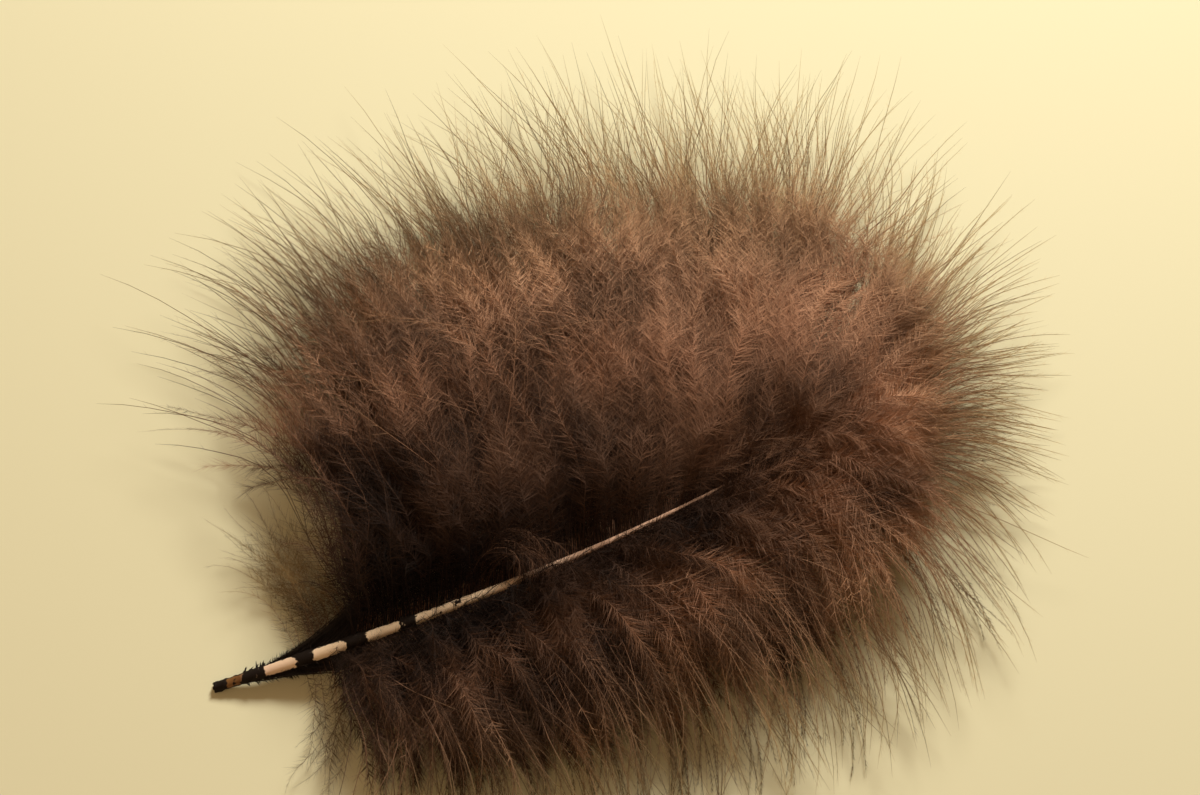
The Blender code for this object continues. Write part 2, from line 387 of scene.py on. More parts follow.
def own_strands(side, layer, along, stray, wisp_chance, chance):
    """Each barb's own bend, as bent_lines reads it, and the length that the tables give its place."""
    count = len(along)
    sides = np.full(count, side)
    length, root_angle, tip_angle = read_tables(sides, along)
    u = (root_share(sides, along) + ROOT_JITTER[side] * chance.uniform(-1, 1, count)).clip(0.0, 1.0)
    turn = layer["turn"] * chance.normal(0.0, TURN_SPREAD, count).clip(-TURN_LIMIT, TURN_LIMIT)
    turn = turn + WISP_LEAN * wisp_chance[:, 2]
    outwards = np.sign(root_angle)
    sweep = layer["sweep"] * CURL_SWEEP[side]
    root_turn = outwards * ROOT_OPENING[side] + ROOT_SWEEP_SHARE * sweep + ROOT_TURN_SHARE * turn
    size = length * between(*layer["shorter"], chance.random(count) ** layer["short_power"])
    size = size * np.interp(along, FULL_PLACES, REACH[side])
    own_root = root_angle + root_turn + chance.uniform(-ROOT_SPREAD, ROOT_SPREAD, count)
    own_tip = tip_angle - outwards * TIP_CLOSING[side] + sweep + turn
    own_tip = own_tip + STRAY_TURN * stray * chance.uniform(-1, 1, count)
    arch = (HIGH_ARCH if layer["high"] else LOW_ARCH) * SIDE_ARCH[side]
    return {
        "u": u,
        "root": beside_quill(u, np.radians(root_angle), ROOT_DEPTH),
        "root_angle": np.radians(own_root),
        "tip_angle": np.radians(own_tip),
        "length": size * np.where(stray, STRAY_LENGTH, 1.0) * (1 + WISP_LENGTH * wisp_chance[:, 4]),
        "arch": arch * chance.uniform(*layer["arch"], count),
        "tip_height": chance.uniform(*layer["rise"], count) * (1 - layer["lie_down"] * size / length),
    }, length


# %% How barbs cling to their lock
LOOSE_SPREAD = 0.20
TIP_SPREAD = 0.6
CLING_FULL = 0.34
CLING_EASE = 0.75
STRAY_CLING = 0.35
CLING_HEIGHT = 0.45


def cling_to_lock(own, layer, chosen, stray, wisp_chance, t, chance):
    """own + c (lock + wisp offset - own), where the cling c grows from 0 at the root to its full value
    near a third of the way, and eases off towards the tip. Heights cling by less than half of it.
    Also gives the way to the left of the lock at each point."""
    own_line, _ = bent_lines(own, t)
    lock = {key: value[chosen] for key, value in locks.items()}
    lock["length"] = own["length"]
    lock_line, lock_bearing = bent_lines(lock, t)
    loose = chance.normal(0.0, LOOSE_SPREAD, (len(chosen), 2))
    across = (wisp_chance[:, 0] + loose[:, 0])[:, None]
    upward = (wisp_chance[:, 1] + loose[:, 1])[:, None]
    spread = lock_profile(t) + TIP_SPREAD * t ** 2
    sideways = left_way(lock_bearing)
    offset = 0.5 * lock["width"][:, None, None] * (across * spread)[..., None] * sideways
    offset[..., 2] += 0.5 * LOCK_DEPTH * upward * spread
    cling = layer["cling"] * smooth(t / CLING_FULL) * (1 - CLING_EASE * t ** 2)
    cling = cling * np.where(stray, STRAY_CLING, 1.0)[:, None]
    line = own_line + cling[..., None] * (lock_line + offset - own_line)
    line[..., 2] = between(own_line[..., 2], line[..., 2], CLING_HEIGHT)
    return line, sideways


# %% Waves and swirls
WISP_WAVE = 0.0010
BARB_WAVE = 0.0010
WAVE_POWER = 1.3
FULL_WAVE_LENGTH = 0.055
# How often a wave turns along a barb: a middle value and a spread for wisps, limits for single barbs
WISP_BEND_TURNS = (0.9, 0.3)
WISP_LIFT_TURNS = (0.8, 0.3)
BARB_TURNS = (0.8, 1.8)
SWIRL = (0.0026, 0.0026, 0.0013)
SWIRL_SIZE = 0.017
SWIRL_SEED = 21
SWIRL_FULL = 0.5
CALM_FROM = 0.40
CALM_OVER = 0.45
TIP_CALM = 0.90
BARB_FLOOR = 0.0005


def waved(line, own, layer, sideways, wisp_chance, t, chance):
    """The lines with sine waves to the side and up, which grow with t, and a swirl that neighbours share."""
    count = len(line)
    freedom = np.clip(own["length"] / FULL_WAVE_LENGTH, 0.0, 1.0)[:, None]

    def wave(size, phase, turns):
        return size * freedom * t ** WAVE_POWER * np.sin(2 * np.pi * (turns[:, None] * t + phase[:, None]))

    def wisp_turns(middle, spread, column):
        return middle + spread * wisp_chance[:, column]

    wisp_wave, barb_wave = WISP_WAVE * layer["wave"], BARB_WAVE * layer["wave"]
    bend = wave(wisp_wave, wisp_chance[:, 2], wisp_turns(*WISP_BEND_TURNS, 3))
    bend = bend + wave(barb_wave, chance.random(count), chance.uniform(*BARB_TURNS, count))
    lift = wave(wisp_wave, wisp_chance[:, 4], wisp_turns(*WISP_LIFT_TURNS, 5))
    lift = lift + wave(barb_wave, chance.random(count), chance.uniform(*BARB_TURNS, count))
    line = line + bend[..., None] * sideways
    places = line.reshape(-1, 3)
    swirl = [patches(places, SWIRL_SIZE, SWIRL_SEED + axis).reshape(line.shape[:2]) for axis in range(3)]
    ease = smooth(t / SWIRL_FULL) * (1 - TIP_CALM * smooth((t - CALM_FROM) / CALM_OVER))
    line = line + np.stack(swirl, axis=-1) * np.array(SWIRL) * (freedom * ease)[..., None]
    line[..., 2] = np.maximum(line[..., 2] + lift, np.minimum(line[:, :1, 2], BARB_FLOOR))
    return line


# %% Barbs of one side and layer
STATIONS = 15
STRAY_SHARE = 0.08
STRAY_DRESS = 0.15
BASE_DRESS = {LEFT: 0.20, RIGHT: 0.60, FAN: 1.0}
BASE_SHARE = 0.20
# The barb's own tone: at the quill's cut end, the rise towards its tip, and the spreads
TONE_START = 0.26
TONE_RISE = 0.34
WISP_TONE = 0.15
BARB_TONE = 0.09
FULLNESS = {
    LEFT: (0.86, 1.16, 1.26, 1.16, 1.12),
    RIGHT: (0.94, 0.95, 0.94, 0.86, 0.76),
    FAN: (1.06, 0.96, 0.88, 0.80, 0.74),
}
# Where the barb's root is in the colour chart, at the start and at the end of its side. A low place keeps
# the root dark: partly the down's own dark base, partly painted shade near the quill, most on the right side
ROOT_SHADE_CHART_START = {LEFT: (0.0, 0.16), RIGHT: (0.0, 0.04), FAN: (0.20, 0.12)}
CHART_FROM = 0.30
CHART_OVER = 0.55


def barb_lines(side, layer, count, seed):
    """Barbs of one side and layer: their lines as (barb, station, xyz), and their facts."""
    chance = np.random.default_rng(seed)
    along, chosen, wisp_chance = barb_places(side, layer, count, seed, chance)
    stray = chance.random(count) < STRAY_SHARE
    own, length = own_strands(side, layer, along, stray, wisp_chance, chance)
    t = even_shares(STATIONS)
    line, sideways = cling_to_lock(own, layer, chosen, stray, wisp_chance, t, chance)
    line = waved(line, own, layer, sideways, wisp_chance, t, chance)
    ripeness = np.ones(count) if side == FAN else along
    # the layer's tone darkens the under layer as painted shade and lightens the hairs partly as painted
    # light
    tone = TONE_START + TONE_RISE * ripeness + WISP_TONE * wisp_chance[:, 3] + layer["tone"]
    dress = between(BASE_DRESS[side], 1.0, smooth(along / BASE_SHARE))
    further = along if side == FAN else smooth((along - CHART_FROM) / CHART_OVER)
    return line, {
        "length": own["length"],
        "reach": own["length"] / length,
        "dress": dress * np.where(stray, STRAY_DRESS, 1.0),
        "tone": tone + chance.normal(0.0, BARB_TONE, count),
        "full": layer["full_to"] * np.interp(along, FULL_PLACES, FULLNESS[side]),
        # a low chart start is painted shade at the root, near the quill
        "start": between(*ROOT_SHADE_CHART_START[side], further),
    }


# %% [markdown]
# ## From lines to meshes
# A barb's stem is a three-sided tube that ends nearly in a point. A curve with a bevel would give the same
# tube one barb at a time, and the array gives all of them at once.
# Every corner also gets a place in a small colour chart: across it goes the barb's own tone, and up it
# goes the distance from the quill. Equal places always mean equal colours, so thousands of barbules can
# share one chart.

# %% Stems
STEM_SIDES = 3
STEM_POINT = 1.02
STEM_POINT_POWER = 6
STEM_TONE_ROUND = 0.02


def side_frames(line):
    """Along, sideways and upward unit vectors at every station of every line."""
    along = unit(np.gradient(line, axis=1))
    sideways = unit(np.stack([-along[..., 1], along[..., 0], 0 * along[..., 0]], axis=-1))
    return along, sideways, np.cross(along, sideways)


def split_quads(*corners):
    """Two triangles for each face, whose four corners come as four arrays."""
    quads = np.stack(corners, -1).reshape(-1, 4)
    return np.concatenate([quads[:, [0, 1, 2]], quads[:, [0, 2, 3]]])


def stems(line, facts, radii, tone=0.0):
    """Tubes p + r (cos a * sideways + sin a * upward), with r falling to a seventh at the tip."""
    count, stations, _ = line.shape
    _, sideways, upward = side_frames(line)
    t = np.linspace(0.0, 1.0, stations)
    radius = between(*radii, t) * np.sqrt(np.clip(STEM_POINT - t ** STEM_POINT_POWER, 0.0, 1.0))
    angle = 2 * np.pi * np.arange(STEM_SIDES) / STEM_SIDES
    ring = np.cos(angle)[:, None] * sideways[:, :, None, :] + np.sin(angle)[:, None] * upward[:, :, None, :]
    points = line[:, :, None, :] + radius[None, :, None, None] * ring
    barb, station, corner = np.meshgrid(
        np.arange(count), np.arange(stations - 1), np.arange(STEM_SIDES), indexing="ij")
    following = (corner + 1) % STEM_SIDES
    base = (barb * stations + station) * STEM_SIDES
    above = base + STEM_SIDES
    faces = split_quads(base + corner, base + following, above + following, above + corner)
    across = facts["tone"][:, None, None] + tone + STEM_TONE_ROUND * np.cos(angle)
    up = (1 - facts["start"][:, None]) * t[None, :] * facts["reach"][:, None] + facts["start"][:, None]
    up = np.broadcast_to(up[..., None], (count, stations, STEM_SIDES))
    chart = np.stack([np.broadcast_to(across, up.shape), up], -1).reshape(-1, 2)
    return points.reshape(-1, 3), faces, chart[faces].reshape(-1, 2)


# %% [markdown]
# ## Barbules
# A barbule is a limp thread, finer than a hair, and it's what makes down look soft. One thin triangle is
# enough for each: its base lies along the stem and its far corner is its tip. They sit in two rows on each
# barb, lean outwards at the root and lie nearly along the barb at its tip.

# %% Barbules
BARBULE_ANGLE_ROOT = 58.0
BARBULE_ANGLE_TIP = 22.0
BARBULE_ANGLE_POWER = 1.5
BARBULE_ANGLE_SHARES = (0.4, 1.5)
BARBULE_LENGTH_SHARES = (0.45, 1.2)
ROOT_SHORT_TO = 0.16
ROOT_SHORTEST = 0.25
ROW_SPREAD = 1.15
OUTWARD_POWER = 0.82
BARE_FROM = 0.96
BARE_TIP = 0.97
FRINGE_REACH = 0.20
FRINGE_WIDTH = 0.5
BARE_WIDTH = 0.55
BARBULE_FLOOR = 0.0001
# Neighbouring barbules swing together, as if they were combed
COMBED = 0.16
COMB_SWING = 1.3
COMB_LIFT = 0.45
COMB_WAVE = 0.011
FRINGE_UNCOMBED = 0.6
TONE_SPREAD = 0.15
TONE_PATCH = 0.30
TONE_PATCH_SIZE = 0.015
# Painted light: the down is lighter towards +X and +Y, the side the key light comes from, by this much over
# the feather's reach
PAINTED_LIGHT_TOWARDS = (0.32, 0.38)
FEATHER_REACH = 0.060
# The size of one barbule's own place in the colour chart
CHART_HALF_WIDTH = 0.012
CHART_HEIGHT = 0.05
SWING_SEED, LIFT_SEED, TONE_SEED = 11, 12, 13


def barbules(line, facts, layer, count, seed):
    """Thin triangles (p - w/2 along, p + w/2 along, p + l d), with d = cos q * along + sin q * outward.

    The angle q falls from root to tip, and the length l is less at the root and at the fringe. Outward
    points to one of two rows, on either side of the stem, which each barb has turned by its own angle.
    Then d is mixed with a swung copy of along. The swing is the same for all barbules of a patch, as if
    they were combed."""
    chance = np.random.default_rng(seed)
    dressed = np.minimum(BARE_TIP, BARE_FROM / facts["reach"])
    weight = facts["length"] * dressed * facts["dress"]
    barb = chance.choice(len(weight), count, p=weight / weight.sum())
    t = between(layer["from"], dressed[barb], chance.random(count) ** OUTWARD_POWER)
    place = t * (line.shape[1] - 1)
    station = place.astype(int)
    share = (place - station)[:, None]
    frames = side_frames(line)

    def at(values):
        return between(values[barb, station], values[barb, station + 1], share)

    point = at(line)
    along, sideways, upward = (unit(at(way)) for way in frames)
    row = np.pi * chance.integers(0, 2, count)
    spin = chance.uniform(0, np.pi, len(weight))[barb] + row
    spin = (spin + chance.normal(0.0, ROW_SPREAD, count))[:, None]
    outward = np.cos(spin) * sideways + np.sin(spin) * upward
    angle = between(BARBULE_ANGLE_ROOT, BARBULE_ANGLE_TIP, t ** BARBULE_ANGLE_POWER)
    angle = np.radians(angle * chance.uniform(*BARBULE_ANGLE_SHARES, count))[:, None]
    fringe = smooth((t * facts["reach"][barb] - facts["full"][barb]) / FRINGE_REACH)
    length = layer["barbule"] * between(1.0, layer["fringe"], fringe)
    length = length * chance.uniform(*BARBULE_LENGTH_SHARES, count)
    length = (length * smooth(np.maximum(t / ROOT_SHORT_TO, ROOT_SHORTEST)))[:, None]
    width = layer["width"] * between(1.0, FRINGE_WIDTH, fringe)
    width = (width * between(BARE_WIDTH, 1.0, facts["dress"][barb]))[:, None]
    swing = COMB_SWING * patches(point, COMB_WAVE, SWING_SEED)[:, None]
    lift = COMB_LIFT * patches(point, COMB_WAVE, LIFT_SEED)[:, None]
    comb = np.cos(swing) * along + np.sin(swing) * sideways + lift * upward
    combed = COMBED * (1 - FRINGE_UNCOMBED * fringe[:, None])
    tip = point + length * unit(between(np.cos(angle) * along + np.sin(angle) * outward, comb, combed))
    tip[:, 2] = np.maximum(tip[:, 2], BARBULE_FLOOR)
    points = np.stack([point - 0.5 * width * along, point + 0.5 * width * along, tip], axis=1)
    faces = np.arange(3 * count).reshape(-1, 3)
    tone = facts["tone"][barb] + chance.normal(0.0, TONE_SPREAD, count)
    tone = tone + TONE_PATCH * patches(point, TONE_PATCH_SIZE, TONE_SEED)
    # painted light: the down gets lighter towards the key light at +X and +Y
    tone = tone + point[:, :2] @ np.array(PAINTED_LIGHT_TOWARDS) / FEATHER_REACH
    up = between(facts["start"][barb], 1.0, t * facts["reach"][barb])
    chart = np.stack([
        np.stack([tone - CHART_HALF_WIDTH, up], -1),
        np.stack([tone + CHART_HALF_WIDTH, up], -1),
        np.stack([tone, up + CHART_HEIGHT], -1),
    ], axis=1)
    return points.reshape(-1, 3), faces, chart.reshape(-1, 2)


# %% Filling a mesh from arrays
CHART = "OFBake"
CHART_LIMITS = (0.004, 0.996)


def mesh_piece(name, parts, material):
    """One mesh object from several (points, faces, chart places) arrays, joined end to end."""
    points = np.concatenate([part[0] for part in parts])
    starts = np.cumsum([0] + [len(part[0]) for part in parts[:-1]])
    faces = np.concatenate([part[1] + start for part, start in zip(parts, starts)])
    chart = np.clip(np.concatenate([part[2] for part in parts]), *CHART_LIMITS)
    mesh = bpy.data.meshes.new(name)
    mesh.vertices.add(len(points))
    mesh.vertices.foreach_set("co", points.astype(np.float32).ravel())
    mesh.loops.add(faces.size)
    mesh.loops.foreach_set("vertex_index", faces.astype(np.int32).ravel())
    mesh.polygons.add(len(faces))
    mesh.polygons.foreach_set("loop_start", np.arange(0, faces.size, 3, dtype=np.int32))
    layer = mesh.uv_layers.new(name=CHART)
    layer.data.foreach_set("uv", chart.astype(np.float32).ravel())
    mesh.update(calc_edges=True)
    mesh.validate()
    mesh.materials.append(material)
    piece = bpy.data.objects.new(name, mesh)
    bpy.context.scene.collection.objects.link(piece)
    print(f"{name}: {len(faces)} triangles")
    return piece


# %% [markdown]
# ## Colour of the down
# The down is a warm dark brown, nearly black at the root, that turns lighter and more golden towards the
# tips.
# The dark roots are partly the down's own colour and partly painted shade near the quill; the golden tips
# are partly their own paler colour and partly painted light, the glow of light coming through them. A noise
# texture would colour places in the air, so neighbouring barbs would match too well.
# Two colour ramps run from root to tip instead, one for dark barbs and one for light ones, and the
# barb's tone mixes them.

# %% Helpers for materials
def new_material(name):
    """A material with nodes, as the material, its nodes, its links and its shader."""
    material = bpy.data.materials.new(name)
    material.use_nodes = True
    nodes = material.node_tree.nodes
    return material, nodes, material.node_tree.links, nodes["Principled BSDF"]


def set_inputs(node, values):
    for name, value in values.items():
        node.inputs[name].default_value = value


def chart_place(nodes, links):
    """A node that gives the place in the colour chart: tone in X, distance in Y."""
    place = nodes.new("ShaderNodeUVMap")
    place.uv_map = CHART
    split = nodes.new("ShaderNodeSeparateXYZ")
    links.new(place.outputs["UV"], split.inputs["Vector"])
    return split


def color_ramp(nodes, stops):
    ramp = nodes.new("ShaderNodeValToRGB")
    while len(ramp.color_ramp.elements) > 1:
        ramp.color_ramp.elements.remove(ramp.color_ramp.elements[0])
    ramp.color_ramp.elements[0].position = stops[0][0]
    ramp.color_ramp.elements[0].color = (*stops[0][1], 1.0)
    for position, color in stops[1:]:
        ramp.color_ramp.elements.new(position).color = (*color, 1.0)
    return ramp


def color_mix(nodes, links, factor):
    """A node that mixes two colours, as its two colour inputs and its colour output."""
    mix = nodes.new("ShaderNodeMix")
    mix.data_type = "RGBA"
    links.new(factor, mix.inputs["Factor"])
    first, second = (socket for socket in mix.inputs if socket.type == "RGBA")
    result = next(socket for socket in mix.outputs if socket.type == "RGBA")
    return first, second, result


# %% Down material
# Both ramps are darkest at the root, partly painted shade near the quill, and lightest at the tip, partly
# painted light coming through the thin tips
DARK_RAMP = ((0.0, (0.007, 0.0037, 0.0026)), (0.16, (0.011, 0.0055, 0.0038)),
             (0.38, (0.032, 0.0156, 0.0095)), (0.52, (0.074, 0.0375, 0.0215)),
             (0.68, (0.070, 0.038, 0.019)), (0.82, (0.074, 0.046, 0.019)), (1.0, (0.094, 0.062, 0.025)))
LIGHT_RAMP = ((0.0, (0.030, 0.014, 0.009)), (0.16, (0.095, 0.045, 0.026)), (0.38, (0.465, 0.234, 0.138)),
              (0.52, (0.640, 0.350, 0.208)), (0.68, (0.520, 0.305, 0.165)), (0.82, (0.640, 0.430, 0.205)),
              (1.0, (0.720, 0.530, 0.250)))
DOWN_ROUGHNESS = 0.70
DOWN_SPECULAR = 0.16


def down_material(name, dark, light):
    """Dark and light ramps over the distance from the quill, mixed by the barb's tone."""
    material, nodes, links, shader = new_material(name)
    split = chart_place(nodes, links)
    dark_input, light_input, color = color_mix(nodes, links, split.outputs["X"])
    for stops, socket in ((dark, dark_input), (light, light_input)):
        ramp = color_ramp(nodes, stops)
        links.new(split.outputs["Y"], ramp.inputs["Fac"])
        links.new(ramp.outputs["Color"], socket)
    links.new(color, shader.inputs["Base Color"])
    set_inputs(shader, {"Roughness": DOWN_ROUGHNESS, "Specular IOR Level": DOWN_SPECULAR})
    return material


brown_down = down_material("brown_down", DARK_RAMP, LIGHT_RAMP)
print("material:", brown_down.name)

# %% [markdown]
# ## The down itself
# Each side of the quill, and the fan past its end, gets its four layers, and each layer is a piece of its
# own. The left side has the longest barbs, so it has the most of them.

# %% Down pieces
# For each layer: barbs, then barbules
LEFT_PIECES = (("under", 150, 72000), ("over", 340, 124000), ("curls", 310, 112000), ("hairs", 545, 34000))
RIGHT_PIECES = (("under", 100, 42000), ("over", 200, 70000), ("curls", 190, 64000), ("hairs", 210, 14000))
FAN_PIECES = (("under", 70, 26000), ("over", 140, 42000), ("curls", 120, 38000), ("hairs", 255, 16000))
PIECE_SETS = (
    ("left", LEFT, LEFT_PIECES, 100), ("right", RIGHT, RIGHT_PIECES, 200), ("tip", FAN, FAN_PIECES, 300),
)
pieces = []
for side_name, side, layer_rows, first_seed in PIECE_SETS:
    for order, (layer_name, count, barbule_count) in enumerate(layer_rows):
        layer = LAYERS[layer_name]
        seed = first_seed + 10 * order
        line, facts = barb_lines(side, layer, count, seed)
        parts = [
            stems(line, facts, layer["stem"], layer["stem_tone"]),
            barbules(line, facts, layer, barbule_count, seed + 5),
        ]
        pieces.append(mesh_piece(f"{side_name}_{layer_name}_down", parts, brown_down))

# %% [markdown]
# ## Wisps and single hairs
# The lowest barbs of the down are short, thin and far apart, and curl back past the cut end. Elsewhere a
# tuft falls across the quill, soft barbs close over its end, and a few single hairs lie loose on top.
# None of these belongs to a lock, so each just bends on its own, with a few long barbules.

# %% Wisps
WISP_ROWS = (
    # side, count, places on the quill, root angles, tip angles, lengths,
    # tip heights, arches, tones, chart from and to, barbules on each
    # wisps at the base, left and right
    (LEFT, 36, (0.13, 0.24), (70, 96), (110, 178), (0.012, 0.027),
     (0.0020, 0.0090), (-0.0040, -0.0020), (0.25, 0.75), (0.62, 0.95), 150),
    (RIGHT, 12, (0.14, 0.22), (-96, -66), (-150, -106), (0.012, 0.023),
     (0.0010, 0.0060), (-0.0030, -0.0010), (0.10, 0.60), (0.40, 0.85), 150),
    # the tuft that falls across the quill
    (LEFT, 30, (0.425, 0.458), (70, 100), (-172, -130), (0.014, 0.021),
     (0.0088, 0.0108), (0.0030, 0.0042), (0.10, 0.70), (0.15, 0.45), 110),
    # barbs that close over the quill's end, left and right
    (LEFT, 46, (0.76, 0.93), (14, 34), (-34, -4), (0.016, 0.030),
     (0.0120, 0.0165), (0.0, 0.0030), (0.20, 0.70), (0.10, 0.50), 150),
    (RIGHT, 40, (0.76, 0.93), (-34, -12), (0, 34), (0.016, 0.030),
     (0.0120, 0.0165), (0.0, 0.0030), (0.20, 0.70), (0.0, 0.50), 150),
    # single hairs on top, left and right
    (LEFT, 20, (0.30, 0.94), (25, 100), (-20, 190), (0.034, 0.060),
     (0.0165, 0.0210), (0.0, 0.0040), (0.45, 0.90), (0.0, 0.74), 60),
    (RIGHT, 10, (0.35, 0.92), (-70, -10), (-150, 10), (0.024, 0.042),
     (0.0130, 0.0180), (0.0, 0.0030), (0.45, 0.90), (0.0, 0.74), 60),
)
WISP_LAYER = {"barbule": 0.0030, "width": 0.00006, "full_to": 0.66, "from": 0.10, "fringe": 0.25}
WISP_STEM = (0.000034, 0.000024)
WISP_SWAY = 0.0012
WISP_SWAY_TURNS = (0.8, 1.6)
WISP_LINE_SEED, WISP_BARBULE_SEED = 500, 510


def wisp_lines(row, seed):
    """Even bends with a sway s t sin(turns) to the side, and the facts that the stems and barbules need."""
    side, count, places, roots, tips, lengths, heights, arches, tones, shares, _ = row
    chance = np.random.default_rng(seed)
    strands = {
        "u": chance.uniform(*places, count),
        "root_angle": np.radians(chance.uniform(*roots, count)),
        "tip_angle": np.radians(chance.uniform(*tips, count)),
        "length": chance.uniform(*lengths, count),
        "arch": chance.uniform(*arches, count),
        "tip_height": chance.uniform(*heights, count),
    }
    t = even_shares(STATIONS)
    line, bearing = bent_lines(strands, t)
    turns = t * chance.uniform(*WISP_SWAY_TURNS, (count, 1)) + chance.random((count, 1))
    sway = WISP_SWAY * t * np.sin(2 * np.pi * turns)
    plain = np.ones(count)
    reach = (shares[1] - shares[0]) / (1 - shares[0])
    facts = {
        "length": strands["length"], "reach": reach * plain, "dress": plain,
        "tone": chance.uniform(*tones, count),
        "full": WISP_LAYER["full_to"] * reach * plain, "start": shares[0] * plain,
    }
    return line + sway[..., None] * left_way(bearing), facts


wisp_parts = []
for order, row in enumerate(WISP_ROWS):
    line, facts = wisp_lines(row, WISP_LINE_SEED + order)
    wisp_parts.append(stems(line, facts, WISP_STEM))
    wisp_parts.append(barbules(line, facts, WISP_LAYER, row[-1] * len(line), WISP_BARBULE_SEED + order))
pieces.append(mesh_piece("base_wisps", wisp_parts, brown_down))

# %% [markdown]
# ## Stiff barbs by the cut end
# Below the down, a few short barbs stick together beside the quill. They are nearly black, and lie
# side by side in a wedge on the left and a thin sheet on the right. They are made as the down is, from
# tables of their own, with barbules so short that they only roughen the edges.

# %% Stiff barbs
QUARTER_TURN = {LEFT: 0.5 * np.pi, RIGHT: -0.5 * np.pi}
# Degrees that root and tip angles are spread by, in this row and in the comb of barb bases
ROOT_ANGLE_SPREAD, TIP_ANGLE_SPREAD = 1.5, 4.0
# For each side: places on the quill, then lengths, root angles and tip angles there
STIFF_TABLES = {
    LEFT: ((0.05, 0.12, 0.20, 0.25), (0.0205, 0.0135, 0.0075, 0.0034), (3, 13, 28, 38), (25, 33, 48, 62)),
    RIGHT: ((0.05, 0.12, 0.24), (0.0120, 0.0100, 0.0050), (-7, -10, -16), (-5, -10, -20)),
}
STIFF_COUNTS = {LEFT: 250, RIGHT: 120}
STIFF_BARBULES = 44
STIFF_LAYER = {"barbule": 0.0010, "width": 0.00012, "full_to": 0.80, "from": 0.012, "fringe": 0.2}
STIFF_RADIUS = 0.00010
STIFF_HEIGHTS = {LEFT: 0.0048, RIGHT: 0.0030}
STIFF_ROOT_DEPTH = 0.8
STIFF_STATIONS = 12
STIFF_PLACE_SPREAD = 0.002
STIFF_LENGTH_SHARES = (0.82, 1.06)
STIFF_ARCH_SPREAD = 0.0003
STIFF_HEIGHT_SPREAD = 0.0004
STIFF_TONES = (0.05, 0.95)
STIFF_DARK_RAMP = ((0.0, (0.006, 0.0040, 0.0032)), (1.0, (0.012, 0.0075, 0.0050)))
STIFF_LIGHT_RAMP = ((0.0, (0.022, 0.014, 0.010)), (1.0, (0.046, 0.029, 0.019)))


def stiff_barb_lines(side, seed):
    """Even bends from places side by side on the quill, with sizes read from the side's table."""
    chance = np.random.default_rng(seed)
    count = STIFF_COUNTS[side]
    places, lengths, roots, tips = STIFF_TABLES[side]
    u = np.linspace(places[0], places[-1], count) + chance.normal(0.0, STIFF_PLACE_SPREAD, count)
    strands = {
        "u": u,
        "root": beside_quill(u, QUARTER_TURN[side], STIFF_ROOT_DEPTH),
        "root_angle": np.radians(np.interp(u, places, roots) + chance.normal(0, ROOT_ANGLE_SPREAD, count)),
        "tip_angle": np.radians(np.interp(u, places, tips) + chance.normal(0, TIP_ANGLE_SPREAD, count)),
        "length": np.interp(u, places, lengths) * chance.uniform(*STIFF_LENGTH_SHARES, count),
        "arch": chance.normal(0.0, STIFF_ARCH_SPREAD, count),
        "tip_height": STIFF_HEIGHTS[side] + chance.normal(0.0, STIFF_HEIGHT_SPREAD, count),
    }
    line, _ = bent_lines(strands, even_shares(STIFF_STATIONS))
    plain = np.ones(count)
    return line, {
        "length": strands["length"], "reach": plain, "dress": plain,
        "tone": chance.uniform(*STIFF_TONES, count),
        "full": STIFF_LAYER["full_to"] * plain, "start": 0 * plain,
    }


stiff_material = down_material("dark_barbs", STIFF_DARK_RAMP, STIFF_LIGHT_RAMP)
stiff_parts = []
for side in (LEFT, RIGHT):
    line, facts = stiff_barb_lines(side, 400 + side)
    stiff_parts.append(stems(line, facts, (STIFF_RADIUS, 0.5 * STIFF_RADIUS)))
    stiff_parts.append(barbules(line, facts, STIFF_LAYER, STIFF_BARBULES * len(line), 410 + side))

# %% [markdown]
# ## Broken stubs
# The dark bands are what is left of the sheath that the feather grew in, and broken bases of barbs stick
# out of them. A rough texture wouldn't show against the pale surface, so they are short spikes.

# %% Broken stubs on the dark sheath
STUB_PLACES = ((0.050, 0.088), (0.138, 0.168), (0.221, 0.254), (0.311, 0.334))
STUBS_PER_BAND = 34
STUB_ANGLES = (20, 80)
STUB_BEND = 0.2
STUB_LENGTHS = (0.0003, 0.0010)
STUB_RISES = (-0.0002, 0.0004)
STUB_TONES = (0.05, 0.6)
STUB_STEM = (0.00012, 0.00006)
STUB_STATIONS = 4
STUB_SEED = 430


def stub_lines(seed):
    """Short, nearly straight spikes off both sides of each dark band, at 20 to 80 degrees to the quill."""
    chance = np.random.default_rng(seed)
    count = STUBS_PER_BAND * len(STUB_PLACES)
    first, last = np.repeat(np.array(STUB_PLACES), STUBS_PER_BAND, axis=0).T
    u = between(first, last, chance.random(count))
    side = chance.choice([-1.0, 1.0], count)
    root = beside_quill(u, side * 0.5 * np.pi, 1.0)
    root[:, 2] += chance.uniform(-0.5, 0.5, count) * shaft_radius(u)
    angle = np.radians(side * chance.uniform(*STUB_ANGLES, count))
    strands = {
        "u": u, "root": root, "root_angle": angle, "tip_angle": angle + chance.normal(0, STUB_BEND, count),
        "length": chance.uniform(*STUB_LENGTHS, count), "arch": np.zeros(count),
        "tip_height": root[:, 2] + chance.uniform(*STUB_RISES, count),
    }
    line, _ = bent_lines(strands, even_shares(STUB_STATIONS))
    plain = np.ones(count)
    return line, {"reach": plain, "start": 0 * plain, "tone": chance.uniform(*STUB_TONES, count)}


line, facts = stub_lines(STUB_SEED)
stiff_parts.append(stems(line, facts, STUB_STEM))
pieces.append(mesh_piece("stiff_barbs", stiff_parts, stiff_material))

